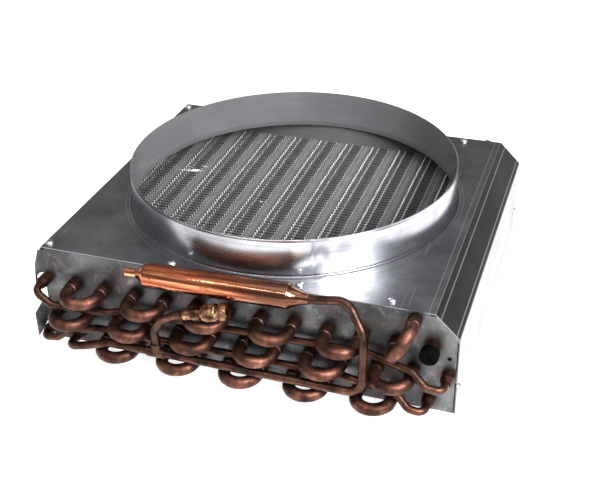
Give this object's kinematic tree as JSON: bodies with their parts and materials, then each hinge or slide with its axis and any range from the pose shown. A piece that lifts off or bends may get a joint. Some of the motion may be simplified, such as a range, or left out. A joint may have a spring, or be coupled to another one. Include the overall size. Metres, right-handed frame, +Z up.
{
  "type": "air-cooled condenser",
  "caption": "Low air-cooled condenser: finned copper hairpin coil between steel end plates, under a shroud with a round fan collar, with a filter drier and access valve in front.",
  "frame": {"origin": "middle of the fan opening, on the axis of the fan collar, level with the upper face of the shroud's flat top", "axes": "+Z up, out of the fan collar; +X along the pipework end towards the sloping corner of the shroud; +Y from the pipework end towards the rear end plate"},
  "size_m": [0.3367, 0.3308, 0.1155],
  "materials": {
    "plate_steel": "galvanised sheet, satin",
    "shroud_steel": "galvanised sheet, satin with handling marks",
    "fin_aluminium": "plain rolled fin stock",
    "copper_tube": "drawn copper tube, tarnished",
    "oxidised_copper": "copper darkened by brazing",
    "drier_copper": "spun copper, heat coloured",
    "braze_alloy": "brazing alloy, dull",
    "valve_brass": "turned brass",
    "black_rubber": "moulded, matte",
    "spring_steel": "wire, bright",
    "desiccant": "pressed beads, matte",
    "screw_zinc": "zinc plated"
  },
  "bodies": {
    "condenser": {"front_end_plate": "plate_steel", "rear_end_plate": "plate_steel", "fin_pack": "fin_aluminium", "hairpins_row_1": "copper_tube", "hairpins_row_2": "copper_tube", "hairpins_row_3": "copper_tube", "crossover_hairpins": "copper_tube", "return_bends_row_1": "oxidised_copper", "return_bends_row_2": "oxidised_copper", "return_bends_row_3": "oxidised_copper", "crossover_return_bend": "oxidised_copper", "braze_rings": "braze_alloy", "tube_reducers": "oxidised_copper", "jumper_tube_upper": "oxidised_copper", "jumper_tube_lower": "oxidised_copper", "outlet_tube": "oxidised_copper", "service_tee": "oxidised_copper", "liquid_line": "oxidised_copper", "process_tube": "oxidised_copper", "access_valve_body": "valve_brass", "valve_core_body": "valve_brass", "valve_core_seal": "black_rubber", "valve_core_spring": "spring_steel", "drier_shell": "drier_copper", "drier_screens": "valve_brass", "drier_core": "desiccant", "shroud": "shroud_steel", "fan_collar": "shroud_steel", "top_screws": "screw_zinc", "side_screws": "screw_zinc"},
    "gasket": {"cap_gasket": "black_rubber"},
    "cap": {"valve_cap": "valve_brass"},
    "core_pin": {"valve_core_pin": "valve_brass"},
    "inlet_cap": {"inlet_cap": "black_rubber"}
  },
  "joints": [
    {"name": "cap_travel", "type": "slide", "parent": "condenser", "child": "gasket", "axis": [0.9588, 0, 0.284], "range_m": [0, 0.008]},
    {"name": "cap_turn", "type": "hinge", "parent": "gasket", "child": "cap", "pos_m": [-0.0011, -0.16645, -0.01205], "axis": [0.9588, 0, 0.284], "range_deg": [0, 2268]},
    {"name": "core_pin_press", "type": "slide", "parent": "condenser", "child": "core_pin", "axis": [-0.9588, 0, -0.284], "range_m": [0, 0.0012], "stiffness_N_per_m": 1500},
    {"name": "inlet_cap_pull", "type": "slide", "parent": "condenser", "child": "inlet_cap", "axis": [0, -1, 0], "range_m": [0, 0.02]}
  ],
  "couplings": [
    {"joint": "cap_turn", "follows": "cap_travel", "rad_per_m": 4947.4}
  ]
}
